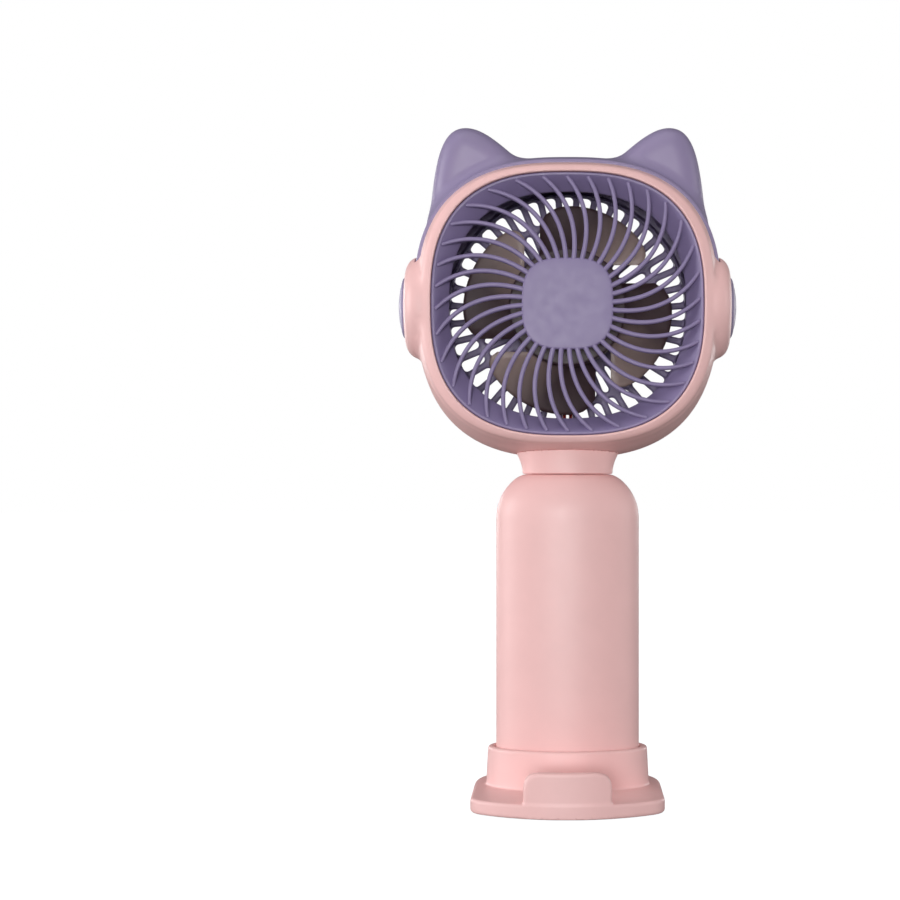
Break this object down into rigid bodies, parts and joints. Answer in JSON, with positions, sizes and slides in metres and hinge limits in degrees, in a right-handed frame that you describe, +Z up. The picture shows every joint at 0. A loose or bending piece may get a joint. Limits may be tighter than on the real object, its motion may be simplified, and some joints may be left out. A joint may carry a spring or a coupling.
{
  "type": "handheld electric fan",
  "caption": "Small battery fan with a rounded-square head, cat ears, side pods and a swirled grille, on a flat oval handle that lifts out of a stand with a phone lip.",
  "frame": {"origin": "on the surface the stand rests on, directly under the handle's axis", "axes": "+Z up along the handle, -Y the way the fan blows, +X to the right when seen from the front"},
  "size_m": [0.101, 0.0597, 0.2017],
  "materials": {
    "pink_shell": "satin moulded plastic, pale pink",
    "purple_shell": "satin moulded plastic, dusty purple",
    "lavender_grille": "satin moulded plastic, lavender",
    "smoke_blade": "dark smoky moulded plastic",
    "steel": "plain steel",
    "bronze": "sintered bronze",
    "copper_core": "enamelled copper windings on a steel core",
    "rubber": "black rubber",
    "white_plastic": "white nylon",
    "black_plastic": "black moulded plastic",
    "board_green": "green solder mask",
    "cell_sleeve": "blue shrink sleeve",
    "magnet": "dark ferrite",
    "wire_red": "red wire insulation"
  },
  "bodies": {
    "stand": {"stand_body": "pink_shell", "stand_bottom_plate": "pink_shell", "stand_weight": "steel", "rubber_feet": "rubber", "stand_screws": "steel"},
    "fan": {"handle_front_shell": "pink_shell", "handle_back_shell": "pink_shell", "handle_screws": "steel", "battery_cell": "cell_sleeve", "battery_pads": "white_plastic", "battery_tabs": "steel", "control_board": "board_green", "usb_socket": "steel", "switch_body": "black_plastic", "light_pipe": "white_plastic", "neck": "pink_shell", "front_bezel": "pink_shell", "rear_shell": "purple_shell", "front_grille": "lavender_grille", "rear_grille": "lavender_grille", "ear_pad_left": "purple_shell", "ear_pad_right": "purple_shell", "head_screws": "steel", "motor_bracket": "lavender_grille", "bracket_screws": "steel", "motor_can": "steel", "motor_end_cap": "white_plastic", "motor_magnets": "magnet", "motor_bushings": "bronze", "motor_leads": "wire_red"},
    "button": {"power_button": "purple_shell", "switch_plunger": "white_plastic"},
    "rotor": {"impeller": "smoke_blade", "motor_shaft": "steel", "motor_armature": "copper_core"}
  },
  "joints": [
    {"name": "handle_lift", "type": "slide", "parent": "stand", "child": "fan", "axis": [0, 0, 1], "range_m": [0, 0.035]},
    {"name": "power_press", "type": "slide", "parent": "fan", "child": "button", "axis": [0, -1, 0], "range_m": [0, 0.0007], "stiffness_N_per_m": 600, "springref_m": -0.0006},
    {"name": "impeller_spin", "type": "hinge", "parent": "fan", "child": "rotor", "pos_m": [0, 0, 0.1473], "axis": [0, -1, 0], "continuous": true}
  ]
}
